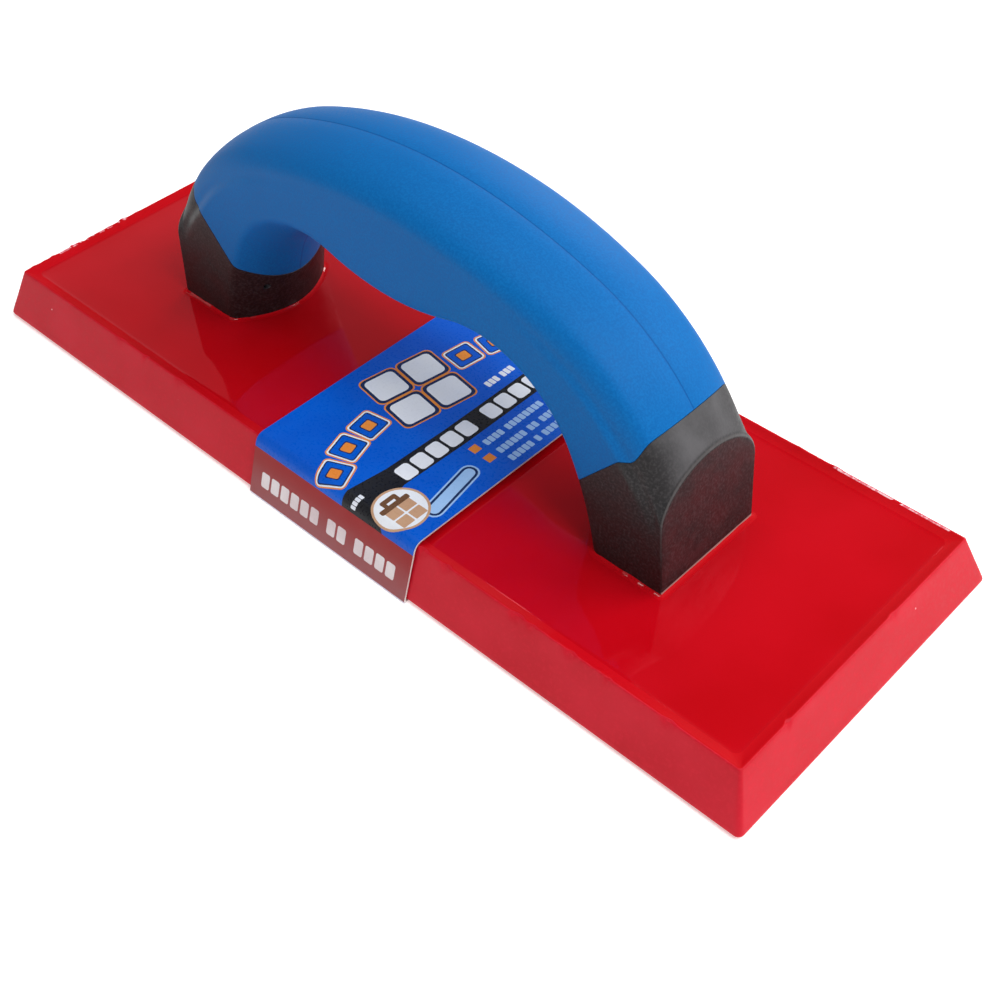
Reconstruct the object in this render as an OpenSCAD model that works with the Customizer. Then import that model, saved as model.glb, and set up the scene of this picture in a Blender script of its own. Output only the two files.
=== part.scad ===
// Hand grout float: a cast urethane pad with a rigid arch handle under a soft grip,
// and a printed card band that slides along the pad between the handle's feet.
// Millimetres. Origin: centre of the footprint on the surface the float lies on.
// +X runs along the pad, +Y across it, +Z up.

/* [Pad] */
// Length of the sole
pad_len = 280; // [240:1:340]
// Width of the sole
pad_w = 103.2; // [86:0.1:125]
// Height from the sole to the crest of the rim
pad_h = 15.4; // [12.8:0.1:20]
// How far each side leans in from the sole to the crest
pad_lean = 5.6; // [2:0.1:8]
// Flat width of the rim's crest
rim_land = 0.6; // [0.3:0.1:2]
// Width of the slope from the crest down to the film
rim_slope = 3.6; // [1:0.1:6]
// Depth of the film below the crest
rim_depth = 1; // [0.5:0.1:2]

/* [Backing plate] */
// Thickness of the urethane under the plate
sole_t = 7.5; // [6:0.1:9]
// Thickness of the plate
plate_t = 2; // [1.5:0.1:3]
// Cover of urethane round the plate, measured in from the crest
plate_cover = 10; // [6:0.5:14]
// Corner radius of the plate
plate_corner_r = 8; // [4:0.5:12]
// Diameter of the holes that the urethane flows through
flow_hole_d = 10; // [6:0.5:12]
// Wanted spacing of the flow holes
flow_hole_pitch = 30; // [24:1:45]
// Solid edge between a flow hole and the plate's edge
flow_hole_edge = 5; // [3:0.5:8]

/* [Handle] */
// Length of the handle at the crest of the pad
handle_len = 180.6; // [150:0.2:220]
// Width of the handle
handle_w = 36; // [30:0.5:44]
// Height of the grip's top over the crest of the pad
grip_top_h = 73.1; // [60:0.1:88]
// Height of the grip's lower edge over the crest, where the finger swell ends
grip_edge_h = 45.7; // [38:0.1:55]
// Length of a foot, from its end face to its inner corner, at its base
foot_len = 20.6; // [17:0.1:26]
// Lean of the end faces
end_lean = 4; // [0:0.5:8]

/* [Handle curves] */
// Radius of the long curve along the top
crown_r = 150; // [125:1:200]
// Radius of the shoulders
shoulder_r = 64; // [54:1:75]
// How far the shoulder's curve would run past the end face
end_cut = 4.6; // [3:0.1:7]
// Turn of the finger swell, from the middle to its end
swell_turn = 17.5; // [10:0.5:20]
// Radius of the hump beside the finger swell
knuckle_r = 32; // [26:0.5:38]
// Turn of the hump
knuckle_turn = 32; // [26:1:36]
// Radius of the throat between the hump and the leg
throat_r = 34; // [28:0.5:40]
// Turn of the throat
throat_turn = 49; // [45:1:52]
// Radius of the leg's inner edge
leg_r = 95; // [80:1:130]
// Height of the crown from its side creases
crown_drop = 7; // [4:0.1:10]
// Swell of the underside across the handle, in the middle
under_sag = 7.3; // [4:0.1:9]
// The same swell where the grip stops
stop_sag = 9.5; // [5:0.1:11]
// The same swell at the foot's base
foot_sag = 7.5; // [4:0.1:9]

/* [Soft grip] */
// Thickness of the soft layer
grip_t = 3; // [2:0.1:4]
// Slope of the top curve where the grip stops
grip_stop_top = 53.5; // [45:0.5:60]
// Slope of the lower edge where the grip stops
grip_stop_leg = 69; // [66:0.5:76]

/* [Screws] */
// Diameter of the thread
screw_d = 4.2; // [3.5:0.1:5]
// Length under the head
screw_len = 16; // [12:1:19]
// Diameter of the head
screw_head_d = 8; // [7:0.1:10]
// Height of the head
screw_head_h = 2.6; // [2:0.1:3.2]
// Length of the tapered tip
screw_tip = 3; // [2:0.5:5]
// Width of the cross recess
recess_w = 1.1; // [0.8:0.1:1.4]
// Span of the cross recess
recess_span = 4.4; // [3.5:0.1:5]
// Depth of the cross recess
recess_depth = 1.6; // [1:0.1:1.9]
// Distance between the two screws of a foot
screw_gap = 17; // [14:0.5:20]
// Distance from the end face to the screws, at the crest of the pad
screw_inset = 11; // [9:0.5:13]
// Radial room round a screw in the plate's hole
screw_room = 0.3; // [0.1:0.05:0.5]
// Radial room round a screw in the handle's pilot hole
thread_room = 0.02; // [0.01:0.01:0.05]
// Diameter of the washers
washer_d = 9.5; // [8.5:0.1:12]
// Thickness of the washers
washer_t = 0.8; // [0.5:0.1:1.2]

/* [Pin hole] */
// Diameter of the pin hole in the left foot
pin_hole_d = 2; // [1:0.1:3]
// Height of the pin hole over the film
pin_hole_h = 11.7; // [3:0.1:16]
// Place of the pin hole across the foot
pin_hole_y = -10; // [-12:0.5:12]
// Depth of the pin hole
pin_hole_depth = 6; // [3:0.5:8]

/* [Band] */
// Width of the band along the pad
band_w = 60; // [45:1:75]
// Place of the band's middle along the pad
band_x = 6.5; // [-10:0.5:10]
// Thickness of the card
band_t = 0.5; // [0.4:0.1:0.8]
// Room between the band and the sole, and beside the sole's edges
band_room = 0.2; // [0.15:0.05:0.4]
// Room between the band and the pad at the crest
band_slack = 0.8; // [0.7:0.1:2]
// Inside radius of the band's top bends
band_bend_r = 2.6; // [1:0.1:3]
// Inside radius of the band's bottom folds
band_fold_r = 0.2; // [0.1:0.05:0.3]

/* [Hidden] */

$fn = 48;
skin = 1;            // how far a cutter runs past the face it opens
crown_steps = 10;    // sides across the crown of a handle section
under_steps = 8;     // sides across its underside
arch_steps = 14;     // sections from the middle to where the grip stops
foot_steps = 6;      // sections from there to the base of a foot
bend_steps = 8;      // sides round a bend of the band

// Levels over the surface that the float lies on
sole_z = band_t + band_room;
crest_z = sole_z + pad_h;
film_z = crest_z - rim_depth;
plate_z = sole_z + sole_t;
foot_z = plate_z + plate_t;
washer_z = plate_z - washer_t;

crest_len = pad_len - 2 * pad_lean;
crest_w = pad_w - 2 * pad_lean;
plate_len = crest_len - 2 * plate_cover;
plate_w = crest_w - 2 * plate_cover;

screw_x = handle_len / 2 - screw_inset;
screw_y = screw_gap / 2;

// ---- Curves of the handle, in the XZ plane --------------------------------
// A curve is a chain of tangent arcs, each [radius, turn in degrees], a left turn positive.

function arc_len(arc) = arc[0] * abs(arc[1]) * PI / 180;

function chain_len(arcs, i = 0) = i == len(arcs) ? 0 : arc_len(arcs[i]) + chain_len(arcs, i + 1);

function arc_point(p, heading, arc, s) =
    let (way = sign(arc[1]), turn = way * s / arc[0] * 180 / PI)
    p + way * arc[0] * [sin(heading + turn) - sin(heading), cos(heading) - cos(heading + turn)];

function chain_point(p, heading, arcs, s, i = 0) =
    let (l = arc_len(arcs[i]))
    s <= l || i == len(arcs) - 1
        ? arc_point(p, heading, arcs[i], s)
        : chain_point(arc_point(p, heading, arcs[i], l), heading + arcs[i][1], arcs, s - l, i + 1);

// Slope reached by an arc of radius r that starts at slope a and falls by drop
function slope_after(a, r, drop) = acos(cos(a) - drop / r);

// Upper line: crown, then shoulder down to the foot's base
crown_turn = asin((handle_len / 2 + end_cut - shoulder_r) / (crown_r - shoulder_r));
top_z = crest_z + grip_top_h;
shoulder_z = top_z - crown_r * (1 - cos(crown_turn));
shoulder_end = slope_after(crown_turn, shoulder_r, shoulder_z - foot_z);
upper_arcs = [[crown_r, -crown_turn], [shoulder_r, crown_turn - shoulder_end]];
upper_stop = arc_len(upper_arcs[0]) + arc_len([shoulder_r, grip_stop_top - crown_turn]);

// Lower edge: finger swell, hump, throat, then leg down to the foot's base
edge_z = crest_z + grip_edge_h;
hump_slope = knuckle_turn - swell_turn;
throat_slope = hump_slope + throat_turn;
leg_z = edge_z + knuckle_r * (cos(hump_slope) - cos(swell_turn))
        + throat_r * (cos(throat_slope) - cos(hump_slope));
leg_end = slope_after(throat_slope, leg_r, leg_z - foot_z);
swell_len = handle_len / 2 - foot_len
            - knuckle_r * (sin(swell_turn) + sin(hump_slope))
            - throat_r * (sin(throat_slope) - sin(hump_slope))
            - leg_r * (sin(leg_end) - sin(throat_slope));
swell_r = swell_len / sin(swell_turn);
under_z = edge_z - swell_r * (1 - cos(swell_turn));
lower_arcs = [[swell_r, swell_turn], [knuckle_r, -knuckle_turn],
              [throat_r, -throat_turn], [leg_r, throat_slope - leg_end]];
lower_stop = chain_len(lower_arcs) - arc_len([leg_r, leg_end - grip_stop_leg]);

function upper_point(s) = chain_point([0, top_z], 0, upper_arcs, s);
function lower_point(s) = chain_point([0, under_z], 0, lower_arcs, s);

function mix(a, b, t) = a + (b - a) * t;

// ---- Sections of the handle -----------------------------------------------
// A station is [lower point, upper point, crown drop, underside swell].
// t runs from 0 in the middle to 1 where the grip stops.
function arch_station(t) =
    [lower_point(lower_stop * t), upper_point(upper_stop * t), crown_drop,
     mix(under_sag, stop_sag, t * t)];

// t runs from 0 where the grip stops to 1 at the foot's base.
function foot_station(t) =
    [lower_point(mix(lower_stop, chain_len(lower_arcs), t)),
     upper_point(mix(upper_stop, chain_len(upper_arcs), t)),
     crown_drop * (1 - t), mix(stop_sag, foot_sag, t)];

// Points of the section at a station, drawn in by inset, on the side +1 or -1
function ring(station, side, inset = 0) =
    let (low = station[0], up = (station[1] - low) / norm(station[1] - low),
         h = norm(station[1] - low) - inset, w = handle_w / 2 - inset, drop = station[2],
         crown = [for (k = [0:crown_steps]) let (a = 180 * k / crown_steps)
                      [w * cos(a), h - drop + drop * sin(a)]],
         under = [for (k = [0:under_steps]) let (u = 2 * k / under_steps - 1)
                      [w * u, inset - station[3] * (1 - u * u)]])
    [for (p = concat(crown, under))
        [side * (low[0] + up[0] * p[1]), p[0], low[1] + up[1] * p[1]]];

function arch_rings(inset) =
    [for (i = [-arch_steps:arch_steps]) ring(arch_station(abs(i) / arch_steps), i < 0 ? -1 : 1, inset)];

// Rings of one foot, from where the grip stops down to the base
function foot_rings(side) = [for (i = [0:foot_steps]) ring(foot_station(i / foot_steps), side)];

function reversed(list) = [for (i = [len(list) - 1:-1:0]) list[i]];

// Solid through a list of rings; closed = true joins the last ring to the first. The four-sided
// panels from ring number turned on are split along their other diagonal, which is how a
// surface that runs backwards meets the same surface running forwards.
module skin_rings(rings, closed = false, turned = undef) {
    n = len(rings[0]);
    m = len(rings);
    first_turned = is_undef(turned) ? m : turned;
    walls = [for (i = [0:(closed ? m : m - 1) - 1], k = [0:n - 1])
                 let (a = i * n, b = (i + 1) % m * n, next = (k + 1) % n)
                 each i < first_turned
                     ? [[a + k, b + next, a + next], [a + k, b + k, b + next]]
                     : [[a + k, b + k, a + next], [a + next, b + k, b + next]]];
    caps = closed ? [] : [[for (k = [0:n - 1]) k], [for (k = [n - 1:-1:0]) (m - 1) * n + k]];
    polyhedron([for (r = rings) each r], concat(walls, caps));
}

// Room beyond the end face on the side +1 or -1
module past_end(side) {
    reach = pad_h + grip_top_h;
    mirror([side < 0 ? 1 : 0, 0, 0])
        translate([handle_len / 2, 0, crest_z])
            rotate([0, -end_lean, 0])
                translate([0, -handle_w, -pad_h])
                    cube([handle_w, 2 * handle_w, reach]);
}

// ---- Sub-parts --------------------------------------------------------------

module at_screws() {
    for (x = [-screw_x, screw_x], y = [-screw_y, screw_y])
        translate([x, y, 0]) children();
}

// Block with the same lean on all four sides
module leaning_block(l0, w0, l1, w1, z0, z1) {
    intersection() {
        rotate([90, 0, 0])
            linear_extrude(w0 + 2 * w1, center = true)
                polygon([[-l0 / 2, z0], [l0 / 2, z0], [l1 / 2, z1], [-l1 / 2, z1]]);
        rotate([90, 0, 90])
            linear_extrude(l0 + 2 * l1, center = true)
                polygon([[-w0 / 2, z0], [w0 / 2, z0], [w1 / 2, z1], [-w1 / 2, z1]]);
    }
}

module plate_outline() {
    x = plate_len / 2 - plate_corner_r;
    y = plate_w / 2 - plate_corner_r;
    translate([-plate_len / 2, -y]) square([plate_len, 2 * y]);
    translate([-x, -plate_w / 2]) square([2 * x, plate_w]);
    for (cx = [-x, x], cy = [-y, y])
        translate([cx, cy]) circle(plate_corner_r);
}

// Plate with its flow holes, before the screw holes are drilled
module plate_blank() {
    row_y = plate_w / 2 - flow_hole_edge - flow_hole_d / 2;
    run = plate_len - 2 * flow_hole_edge - flow_hole_d;
    gaps = floor(run / flow_hole_pitch);
    translate([0, 0, plate_z])
        linear_extrude(plate_t)
            difference() {
                plate_outline();
                for (i = [0:gaps], y = [-row_y, row_y])
                    translate([(i - gaps / 2) * run / gaps, y]) circle(d = flow_hole_d);
            }
}

module washer_blank() {
    translate([0, 0, washer_z]) cylinder(h = washer_t, d = washer_d);
}

module screw() {
    head_r = screw_head_d / 2;
    shank = screw_len - screw_tip;
    difference() {
        rotate_extrude() {
            translate([0, washer_z - screw_head_h / 2]) square([head_r, screw_head_h / 2]);
            intersection() {
                translate([0, washer_z - screw_head_h]) square([head_r, screw_head_h]);
                translate([0, washer_z - screw_head_h / 2]) scale([1, screw_head_h / screw_head_d])
                    circle(head_r);
            }
        }
        for (turn = [0, 90])
            translate([0, 0, washer_z - screw_head_h])
                rotate(turn)
                    translate([-recess_span / 2, -recess_w / 2, -skin])
                        cube([recess_span, recess_w, recess_depth + skin]);
    }
    translate([0, 0, washer_z]) cylinder(h = shank, d = screw_d);
    translate([0, 0, washer_z + shank]) cylinder(h = screw_tip, d1 = screw_d, d2 = 0);
}

// The stretch of a foot that stands in the pad
module foot_stub(side) {
    rings = foot_rings(side);
    stub = [rings[foot_steps - 3], rings[foot_steps - 2], rings[foot_steps - 1], rings[foot_steps]];
    difference() {
        skin_rings(side > 0 ? stub : reversed(stub));
        past_end(side);
    }
}

module urethane_pad() {
    inner = rim_land + rim_slope;
    outer = rim_land - rim_slope * skin / rim_depth;
    color([0.75, 0.05, 0.1])
        difference() {
            leaning_block(pad_len, pad_w, crest_len, crest_w, sole_z, crest_z);
            leaning_block(crest_len - 2 * inner, crest_w - 2 * inner, crest_len - 2 * outer,
                          crest_w - 2 * outer, film_z, crest_z + skin);
            plate_blank();
            at_screws() {
                washer_blank();
                screw();
            }
            for (side = [-1, 1]) foot_stub(side);
        }
}

module backing_plate() {
    color([0.72, 0.73, 0.75])
        difference() {
            plate_blank();
            at_screws()
                translate([0, 0, plate_z - skin])
                    cylinder(h = plate_t + 2 * skin, r = screw_d / 2 + screw_room);
        }
}

module handle_core() {
    color([0.1, 0.09, 0.09])
        difference() {
            skin_rings(concat(reversed(foot_rings(-1)), arch_rings(grip_t), foot_rings(1)));
            for (side = [-1, 1]) past_end(side);
            at_screws()
                translate([0, 0, foot_z - skin])
                    cylinder(h = washer_z + screw_len - foot_z + skin, r = screw_d / 2 + thread_room);
            translate([pin_hole_depth - handle_len / 2 + foot_len, pin_hole_y, film_z + pin_hole_h])
                rotate([0, -90, 0])
                    cylinder(h = 2 * pin_hole_depth, d = pin_hole_d, center = true);
        }
}

module soft_grip() {
    outer = arch_rings(0);
    color([0.07, 0.4, 0.78])
        skin_rings(concat(outer, reversed(arch_rings(grip_t))), closed = true, turned = len(outer));
}

module handle_screws() {
    color([0.66, 0.67, 0.68]) at_screws() screw();
}

module screw_washers() {
    color([0.7, 0.71, 0.72])
        at_screws()
            difference() {
                washer_blank();
                translate([0, 0, washer_z - skin])
                    cylinder(h = washer_t + 2 * skin, r = screw_d / 2 + screw_room);
            }
}

// Outline of the band's section, moved out by off from its inner face
function band_outline(off) =
    let (top = crest_z + band_slack, wide = pad_w / 2 + band_room,
         lean = atan((wide - crest_w / 2 - band_slack) / pad_h),
         bend_z = top - band_bend_r, fold_z = band_t + band_fold_r,
         bend_y = wide - (band_bend_r + (bend_z - sole_z) * sin(lean)) / cos(lean),
         fold_y = wide - (band_fold_r + (fold_z - sole_z) * sin(lean)) / cos(lean),
         half = [for (k = [0:bend_steps]) let (a = mix(-90, lean, k / bend_steps))
                     [fold_y, fold_z] + (band_fold_r + off) * [cos(a), sin(a)],
                 for (k = [0:bend_steps]) let (a = mix(lean, 90, k / bend_steps))
                     [bend_y, bend_z] + (band_bend_r + off) * [cos(a), sin(a)]])
    concat(half, [for (p = reversed(half)) [-p[0], p[1]]]);

module label_band() {
    color([0.05, 0.35, 0.85])
        translate([band_x, 0, 0])
            rotate([90, 0, 90])
                linear_extrude(band_w, center = true)
                    difference() {
                        polygon(band_outline(band_t));
                        polygon(band_outline(0));
                    }
}

urethane_pad();
backing_plate();
handle_core();
soft_grip();
handle_screws();
screw_washers();
label_band();
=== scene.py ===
"""Hand grout float: cast urethane pad, rigid arch handle under a soft grip, printed card band.

Lengths in the helpers are millimetres in the part's frame (+X along the pad, +Z up, origin on the
surface it lies on); meshes are made in metres.
"""

import math
import random

import bmesh
import bpy
from mathutils import Matrix, Vector, noise
from mathutils.geometry import delaunay_2d_cdt


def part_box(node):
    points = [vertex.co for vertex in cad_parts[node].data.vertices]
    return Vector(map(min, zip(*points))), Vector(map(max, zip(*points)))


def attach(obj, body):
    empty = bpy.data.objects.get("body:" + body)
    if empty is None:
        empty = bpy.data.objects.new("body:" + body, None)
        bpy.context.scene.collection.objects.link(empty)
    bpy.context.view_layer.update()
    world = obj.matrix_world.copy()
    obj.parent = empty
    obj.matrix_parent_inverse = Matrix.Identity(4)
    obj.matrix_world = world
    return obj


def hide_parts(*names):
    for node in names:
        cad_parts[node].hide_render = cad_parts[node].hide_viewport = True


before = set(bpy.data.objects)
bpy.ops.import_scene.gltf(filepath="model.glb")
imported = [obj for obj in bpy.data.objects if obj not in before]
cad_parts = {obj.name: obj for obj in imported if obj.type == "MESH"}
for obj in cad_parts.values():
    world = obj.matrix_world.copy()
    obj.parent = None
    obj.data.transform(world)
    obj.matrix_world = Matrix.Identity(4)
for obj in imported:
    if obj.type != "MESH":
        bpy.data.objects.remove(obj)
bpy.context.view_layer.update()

MM = 0.001
WELD = 2e-6  # metres under which two vertices are one


def node_box(node):
    """Corners of a CAD node in millimetres."""
    low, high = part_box(node)
    return low / MM, high / MM


PAD_LOW, PAD_HIGH = node_box("urethane_pad")
CORE_LOW, CORE_HIGH = node_box("handle_core")
BAND_LOW, BAND_HIGH = node_box("label_band")

# ---- Shape of the pad, as in the part's source ----
PAD_LEN = PAD_HIGH.x - PAD_LOW.x
PAD_W = PAD_HIGH.y - PAD_LOW.y
PAD_LEAN = 5.6
RIM_LAND = 0.6
RIM_SLOPE = 3.6
RIM_DEPTH = 1.0
SOLE_Z = PAD_LOW.z
CREST_Z = PAD_HIGH.z
PAD_H = CREST_Z - SOLE_Z
FILM_Z = CREST_Z - RIM_DEPTH
FOOT_Z = CORE_LOW.z

# ---- Curves of the handle, as in the part's source ----
HALF_LEN = 90.3
HALF_W = (CORE_HIGH.y - CORE_LOW.y) / 2
GRIP_TOP_H = 73.1
GRIP_EDGE_H = 45.7
FOOT_LEN = 20.6
END_LEAN = math.radians(4)
CROWN_R, SHOULDER_R, END_CUT = 150.0, 64.0, 4.6
SWELL_TURN = math.radians(17.5)
KNUCKLE_R, KNUCKLE_TURN = 32.0, math.radians(32)
THROAT_R, THROAT_TURN = 34.0, math.radians(49)
LEG_R = 95.0
CROWN_DROP = 7.0
UNDER_SAG, STOP_SAG, FOOT_SAG = 7.3, 9.5, 7.5
GRIP_T = 3.0
GRIP_STOP_TOP, GRIP_STOP_LEG = math.radians(53.5), math.radians(69)
PIN_D, PIN_H, PIN_Y, PIN_DEPTH = 2.0, 11.7, -10.0, 6.0


def mix(a, b, t):
    return a + (b - a) * t


def ease(t):
    """Smooth step from 0 to 1."""
    t = min(1.0, max(0.0, t))
    return t * t * (3 - 2 * t)


def arc_len(arc):
    return arc[0] * abs(arc[1])


def chain_len(arcs):
    return sum(map(arc_len, arcs))


def chain_point(start, arcs, s):
    """Point at length s along tangent arcs (radius, turn) that leave start along +X."""
    x, z = start
    heading = 0.0
    for i, (radius, turn) in enumerate(arcs):
        last = i == len(arcs) - 1
        run = s if last else min(s, arc_len((radius, turn)))
        way = math.copysign(1, turn)
        to = heading + way * run / radius
        x += way * radius * (math.sin(to) - math.sin(heading))
        z += way * radius * (math.cos(heading) - math.cos(to))
        heading, s = to, s - run
        if s <= 0:
            break
    return x, z


def slope_after(slope, radius, drop):
    """Slope that an arc reaches when it has fallen by drop."""
    return math.acos(math.cos(slope) - drop / radius)


CROWN_TURN = math.asin((HALF_LEN + END_CUT - SHOULDER_R) / (CROWN_R - SHOULDER_R))
TOP_Z = CREST_Z + GRIP_TOP_H
SHOULDER_Z = TOP_Z - CROWN_R * (1 - math.cos(CROWN_TURN))
SHOULDER_END = slope_after(CROWN_TURN, SHOULDER_R, SHOULDER_Z - FOOT_Z)
UPPER = [(CROWN_R, -CROWN_TURN), (SHOULDER_R, CROWN_TURN - SHOULDER_END)]
UPPER_STOP = arc_len(UPPER[0]) + arc_len((SHOULDER_R, GRIP_STOP_TOP - CROWN_TURN))

EDGE_Z = CREST_Z + GRIP_EDGE_H
HUMP_SLOPE = KNUCKLE_TURN - SWELL_TURN
THROAT_SLOPE = HUMP_SLOPE + THROAT_TURN
LEG_Z = (EDGE_Z + KNUCKLE_R * (math.cos(HUMP_SLOPE) - math.cos(SWELL_TURN))
         + THROAT_R * (math.cos(THROAT_SLOPE) - math.cos(HUMP_SLOPE)))
LEG_END = slope_after(THROAT_SLOPE, LEG_R, LEG_Z - FOOT_Z)
SWELL_LEN = (HALF_LEN - FOOT_LEN - KNUCKLE_R * (math.sin(SWELL_TURN) + math.sin(HUMP_SLOPE))
             - THROAT_R * (math.sin(THROAT_SLOPE) - math.sin(HUMP_SLOPE))
             - LEG_R * (math.sin(LEG_END) - math.sin(THROAT_SLOPE)))
SWELL_R = SWELL_LEN / math.sin(SWELL_TURN)
UNDER_Z = EDGE_Z - SWELL_R * (1 - math.cos(SWELL_TURN))
LOWER = [(SWELL_R, SWELL_TURN), (KNUCKLE_R, -KNUCKLE_TURN), (THROAT_R, -THROAT_TURN),
         (LEG_R, THROAT_SLOPE - LEG_END)]
LOWER_STOP = chain_len(LOWER) - arc_len((LEG_R, LEG_END - GRIP_STOP_LEG))


class Station:
    """A section of the handle: its lower point, direction to its upper point, and form."""

    def __init__(self, low, high, drop, sag):
        self.low = low
        self.h = math.dist(low, high)
        self.up = ((high[0] - low[0]) / self.h, (high[1] - low[1]) / self.h)
        self.drop = drop
        self.sag = sag

    def place(self, side, y, v):
        return side * (self.low[0] + self.up[0] * v), y, self.low[1] + self.up[1] * v

    def end_cut(self):
        """Height in the section at which the end face's plane crosses it."""
        lean = math.tan(END_LEAN)
        gap = HALF_LEN - self.low[0] - (self.low[1] - CREST_Z) * lean
        return gap / (self.up[0] + self.up[1] * lean)


def arch_station(t):
    """t runs from 0 in the middle to 1 where the grip stops."""
    return Station(chain_point((0, UNDER_Z), LOWER, LOWER_STOP * t),
                   chain_point((0, TOP_Z), UPPER, UPPER_STOP * t),
                   CROWN_DROP, mix(UNDER_SAG, STOP_SAG, t * t))


def foot_station(t):
    """t runs from 0 where the grip stops to 1 at the foot's base."""
    return Station(chain_point((0, UNDER_Z), LOWER, mix(LOWER_STOP, chain_len(LOWER), t)),
                   chain_point((0, TOP_Z), UPPER, mix(UPPER_STOP, chain_len(UPPER), t)),
                   CROWN_DROP * (1 - t), mix(STOP_SAG, FOOT_SAG, t))


def solve(f, low, high):
    """Where f crosses zero between low and high."""
    positive = f(low) > 0
    for _ in range(40):
        middle = (low + high) / 2
        if (f(middle) > 0) == positive:
            low = middle
        else:
            high = middle
    return (low + high) / 2


# Where the end face's plane first cuts the crown, and where it passes the side crease
APEX_T = solve(lambda t: foot_station(t).end_cut() - foot_station(t).h, 0, 1)
CREASE_T = solve(lambda t: foot_station(t).end_cut() - foot_station(t).h + foot_station(t).drop, 0, 1)

# ---- Sections of the handle ----
FLAT_STEPS, EDGE_STEPS, CROWN_STEPS, SIDE_STEPS, CORNER_STEPS, UNDER_STEPS = 10, 4, 20, 26, 6, 14
END_ROUND = 0.4  # rounding along the edge of the end face
CORNER_ROUND = 1.6  # rounding between the sides and the underside
VALLEY_DEPTH = 1.8  # valley that runs along the crease towards each foot
VALLEY_ON_CROWN, VALLEY_ON_SIDE = 7.0, 4.5  # its reach on both sides of the crease
VALLEY_IN, VALLEY_DOWN = 0.8, 0.6  # direction in which it sinks
VALLEY_CLEAR = 3.0  # it fades out this near the end face
JOG = 1.8  # how much further the grip runs down in the valley
PARTING_W, PARTING_DEPTH = 0.32, 0.09


def bezier(a, b, c, steps):
    """Points after a of the curve from a to c that b pulls."""
    return [tuple((1 - t) ** 2 * p + 2 * t * (1 - t) * q + t * t * r for p, q, r in zip(a, b, c))
            for t in (k / steps for k in range(1, steps + 1))]


def crown_point(w, crease, drop, angle):
    return w * math.cos(angle), crease + drop * math.sin(angle)


def half_section(st, inset=0.0, cut=None, valley=0.0, parting=0.0):
    """(y, v, valley share) points of half a section, from the middle of the crown down."""
    w, h = HALF_W - inset, st.h - inset
    crease = h - st.drop
    top = h if cut is None else min(h, cut)
    if top >= crease and st.drop > 0:
        angle = math.asin(min(1.0, (top - crease) / st.drop))
        edge = (w * math.cos(angle), top)
    else:
        angle = 0.0
        edge = (w, top)
    rounding = min(END_ROUND, edge[0] * 0.6)
    flat_end = (edge[0] - rounding, top)
    points = [(flat_end[0] * k / FLAT_STEPS, top) for k in range(FLAT_STEPS + 1)]
    # along the crown, then the side, by the same length as on the flat
    speed = math.hypot(w * math.sin(angle), st.drop * math.cos(angle)) or 1.0
    past = angle - rounding / speed if rounding else angle
    if past > 0:
        crown_start, side_top = crown_point(w, crease, st.drop, past), crease
    else:
        past = 0.0
        side_top = min(crease, top) - (rounding - angle * speed)
        crown_start = (w, side_top)
    points += bezier(flat_end, edge, crown_start, EDGE_STEPS)
    for k in range(1, CROWN_STEPS + 1):
        if past > 0:
            f = k / CROWN_STEPS
            if cut is None:  # closer together by the parting line
                f = f * f * 0.35 + f * 0.65 if k > 3 else (0.4, 0.7, 1.3)[k - 1] * PARTING_W / 1.3 / w / past
            points.append(crown_point(w, crease, st.drop, past * (1 - f)))
        else:
            points.append(crown_start)
    if parting:
        points = [(y, v - parting * max(0.0, 1 - y / PARTING_W)) for y, v in points]
    corner_start = (w, inset + CORNER_ROUND)
    for k in range(1, SIDE_STEPS + 1):
        points.append((w, mix(side_top, corner_start[1], k / SIDE_STEPS)))
    slope = 2 * st.sag / w
    reach = CORNER_ROUND / math.hypot(1, slope)

    def under(y):
        return inset - st.sag * (1 - (y / w) ** 2)

    points += bezier(corner_start, (w, inset), (w - reach, under(w - reach)), CORNER_STEPS)
    points += [((w - reach) * (1 - k / UNDER_STEPS), under((w - reach) * (1 - k / UNDER_STEPS)))
               for k in range(1, UNDER_STEPS + 1)]

    def sunk(y, v):
        """A point and its share of the valley, sunk by it."""
        away = math.hypot(w - y, v - crease)
        share = away / (VALLEY_ON_CROWN if v > crease else VALLEY_ON_SIDE)
        share = math.cos(math.pi / 2 * share) ** 2 if share < 1 else 0.0
        if cut is not None:
            share *= ease((math.dist(edge, (y, v)) - END_ROUND) / VALLEY_CLEAR)
        return y - VALLEY_IN * valley * share, v - VALLEY_DOWN * valley * share, share

    on_end = FLAT_STEPS + EDGE_STEPS if cut is not None else 0
    return [sunk(y, v) if valley and k > on_end else (y, v, 0.0) for k, (y, v) in enumerate(points)]


def ring(st, side, jog=0.0, **form):
    """A section's points in space; jog moves those in the valley on towards the foot."""
    half = half_section(st, **form)
    whole = half + [(-y, v, share) for y, v, share in reversed(half[1:-1])]
    points = []
    for y, v, share in whole:
        x, y, z = st.place(side, y, v)
        points.append((x + side * st.up[1] * jog * share, y, z - st.up[0] * jog * share))
    return points


# ---- Meshes ----

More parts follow.
